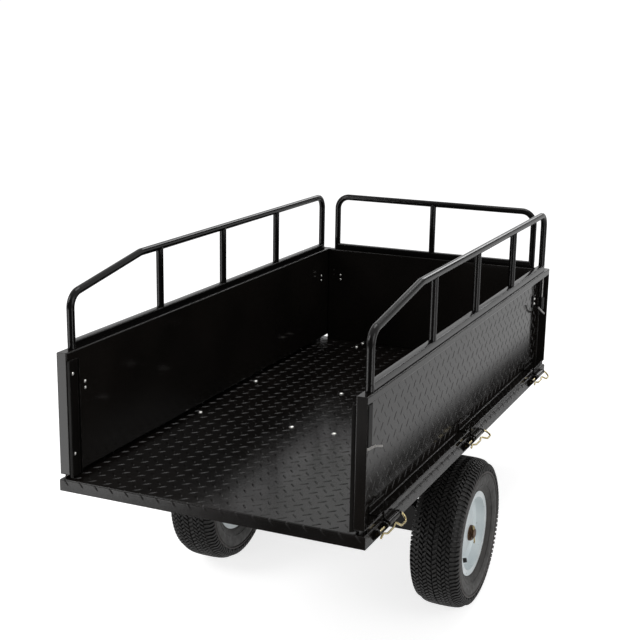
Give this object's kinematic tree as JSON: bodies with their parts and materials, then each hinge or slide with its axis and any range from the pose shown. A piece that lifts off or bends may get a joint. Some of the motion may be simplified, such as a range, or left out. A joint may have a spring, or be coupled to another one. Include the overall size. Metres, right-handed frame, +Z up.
{
  "type": "dump trailer",
  "caption": "Small tow-behind tipping trailer with a steel tray, fold-down sides, tube rails and two pneumatic wheels, resting on its hitch.",
  "frame": {"origin": "on the ground under the middle of the whole trailer's box", "axes": "+Y forward to the hitch, +X to the right seen from the tail, +Z up; the trailer is parked nose down on its hitch"},
  "size_m": [0.849, 2.1446, 1.0381],
  "materials": {
    "black_steel": "satin black powder coat",
    "tyre": "matt rubber",
    "rim": "silver paint",
    "hub": "dull, dark",
    "bare_steel": "zinc plated",
    "zinc": "yellow zinc"
  },
  "bodies": {
    "chassis": {"axle_beam": "black_steel", "axle_shaft": "bare_steel", "axle_washers": "bare_steel", "bed_rest": "black_steel", "drawbar": "black_steel", "drawbar_braces": "black_steel", "hitch_clevis": "black_steel", "pivot_pin": "bare_steel", "pivot_tower": "black_steel", "tip_latch": "bare_steel"},
    "left_wheel": {"left_hub": "hub", "left_rim": "rim", "left_tyre": "tyre"},
    "left_side": {"left_front_latch": "black_steel", "left_hinge_straps": "black_steel", "left_latch_rods": "bare_steel", "left_rail_base": "black_steel", "left_rail_hoop": "black_steel", "left_rail_posts": "black_steel", "left_rear_latch": "black_steel", "left_side_panel": "black_steel", "left_tailgate_channel": "black_steel"},
    "right_wheel": {"right_hub": "hub", "right_rim": "rim", "right_tyre": "tyre"},
    "right_side": {"right_front_latch": "black_steel", "right_hinge_straps": "black_steel", "right_latch_rods": "bare_steel", "right_rail_base": "black_steel", "right_rail_hoop": "black_steel", "right_rail_posts": "black_steel", "right_rear_latch": "black_steel", "right_side_panel": "black_steel", "right_tailgate_channel": "black_steel"},
    "bed": {"bed_floor": "black_steel", "floor_channels": "black_steel", "front_channel": "black_steel", "front_panel": "black_steel", "front_rail_base": "black_steel", "front_rail_hoop": "black_steel", "front_rail_post": "black_steel", "left_hinge_lugs": "black_steel", "left_hinge_pins": "zinc", "pivot_rails": "black_steel", "right_hinge_lugs": "black_steel", "right_hinge_pins": "zinc"}
  },
  "joints": [
    {"name": "bed_tip", "type": "hinge", "parent": "chassis", "child": "bed", "pos_m": [0, -0.38958, 0.42079], "axis": [1, 0, 0], "range_deg": [0, 35]},
    {"name": "left_wheel_spin", "type": "hinge", "parent": "chassis", "child": "left_wheel", "pos_m": [-0.3575, -0.38231, 0.203], "axis": [1, 0, 0], "continuous": true},
    {"name": "right_wheel_spin", "type": "hinge", "parent": "chassis", "child": "right_wheel", "pos_m": [0.3575, -0.38231, 0.203], "axis": [1, 0, 0], "continuous": true},
    {"name": "right_side_fold", "type": "hinge", "parent": "bed", "child": "right_side", "pos_m": [0.397, -0.31858, 0.46483], "axis": [0, 0.984, -0.1784], "range_deg": [0, 90]},
    {"name": "left_side_fold", "type": "hinge", "parent": "bed", "child": "left_side", "pos_m": [-0.397, -0.31858, 0.46483], "axis": [0, -0.984, 0.1784], "range_deg": [0, 90]}
  ]
}
